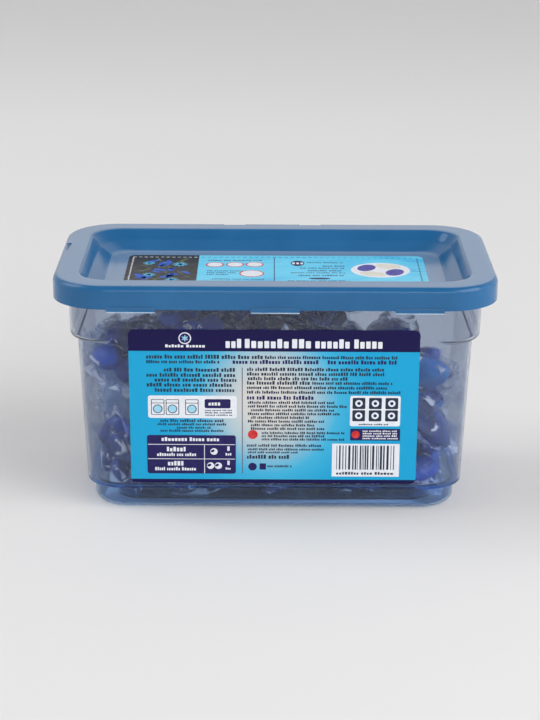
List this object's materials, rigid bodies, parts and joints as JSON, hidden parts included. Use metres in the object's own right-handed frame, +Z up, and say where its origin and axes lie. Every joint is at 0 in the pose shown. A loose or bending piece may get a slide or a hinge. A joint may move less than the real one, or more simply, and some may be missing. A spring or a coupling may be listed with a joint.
{
  "type": "laundry pod tub",
  "caption": "Clear stepped plastic tub with a blue snap lid that has a stacking recess, a front label, a lid label and loose laundry pods inside.",
  "frame": {"origin": "middle of the footprint, on the surface that the tub stands on", "axes": "+Z up, +X along the long side to the right as seen from the labelled front, -Y out of the labelled front"},
  "size_m": [0.205, 0.1216, 0.1135],
  "materials": {
    "clear_plastic": "clear glossy moulded polypropylene with a slight blue haze",
    "lid_plastic": "satin rim and glossy recess, translucent blue polypropylene",
    "front_print": "printed film, satin",
    "lid_print": "printed film, satin",
    "pod_film": "wet-looking water-soluble film over blue and white liquid"
  },
  "bodies": {
    "tub": {"tub": "clear_plastic", "front_label": "front_print", "pod_01": "pod_film", "pod_02": "pod_film", "pod_03": "pod_film", "pod_04": "pod_film", "pod_05": "pod_film", "pod_06": "pod_film", "pod_07": "pod_film", "pod_08": "pod_film", "pod_09": "pod_film", "pod_10": "pod_film", "pod_11": "pod_film", "pod_12": "pod_film", "pod_13": "pod_film", "pod_14": "pod_film", "pod_15": "pod_film", "pod_16": "pod_film", "pod_17": "pod_film", "pod_18": "pod_film", "pod_19": "pod_film", "pod_20": "pod_film", "pod_21": "pod_film", "pod_22": "pod_film", "pod_23": "pod_film", "pod_24": "pod_film", "pod_25": "pod_film", "pod_26": "pod_film", "pod_27": "pod_film", "pod_28": "pod_film", "pod_29": "pod_film", "pod_30": "pod_film", "pod_31": "pod_film", "pod_32": "pod_film", "pod_33": "pod_film", "pod_34": "pod_film", "pod_35": "pod_film", "pod_36": "pod_film", "pod_37": "pod_film", "pod_38": "pod_film", "pod_39": "pod_film", "pod_40": "pod_film"},
    "lid": {"lid": "lid_plastic", "lid_label": "lid_print"}
  },
  "joints": [
    {"name": "lid_lift", "type": "slide", "parent": "tub", "child": "lid", "axis": [0, 0, 1], "range_m": [0, 0.06]}
  ]
}
